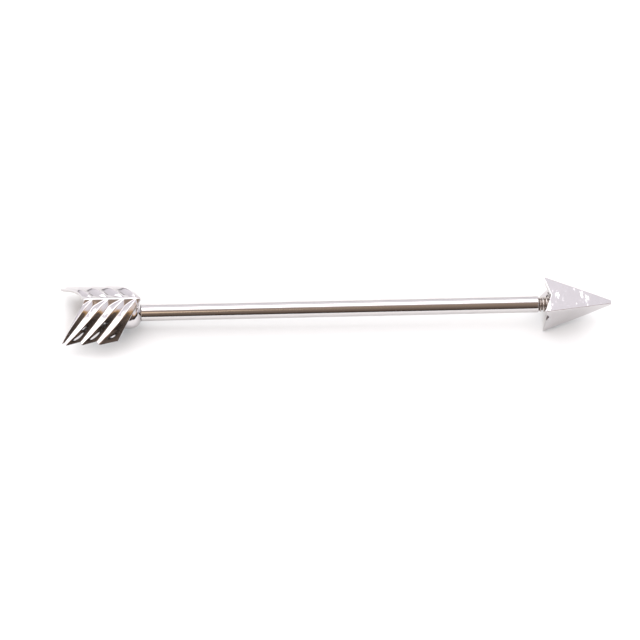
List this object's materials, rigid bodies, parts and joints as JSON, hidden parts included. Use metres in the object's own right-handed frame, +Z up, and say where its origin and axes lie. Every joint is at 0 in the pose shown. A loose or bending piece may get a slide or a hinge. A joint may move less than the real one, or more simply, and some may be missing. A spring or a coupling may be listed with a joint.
{
  "type": "industrial barbell",
  "caption": "Straight steel piercing bar threaded at both ends, with a screw-on arrowhead at one end and a feathered arrow tail at the other.",
  "frame": {"origin": "middle of the bar, on its axis", "axes": "+X along the bar towards the arrowhead, +Z up, square to the flat of the arrowhead that it lies on; the table that it lies on is 1.965 mm below the origin"},
  "size_m": [0.0527, 0.0071, 0.0044],
  "materials": {
    "bar_steel": "polished surgical steel",
    "arrowhead_steel": "polished cast steel",
    "fletching_steel": "polished cast steel"
  },
  "bodies": {
    "bar": {"bar": "bar_steel"},
    "arrowhead": {"arrowhead": "arrowhead_steel"},
    "fletching": {"fletching": "fletching_steel"}
  },
  "joints": [
    {"name": "arrowhead_unscrew", "type": "slide", "parent": "bar", "child": "arrowhead", "axis": [1, 0, 0], "range_m": [-0.0002, 0.0035]},
    {"name": "fletching_unscrew", "type": "slide", "parent": "bar", "child": "fletching", "axis": [-1, 0, 0], "range_m": [0, 0.0037]}
  ]
}
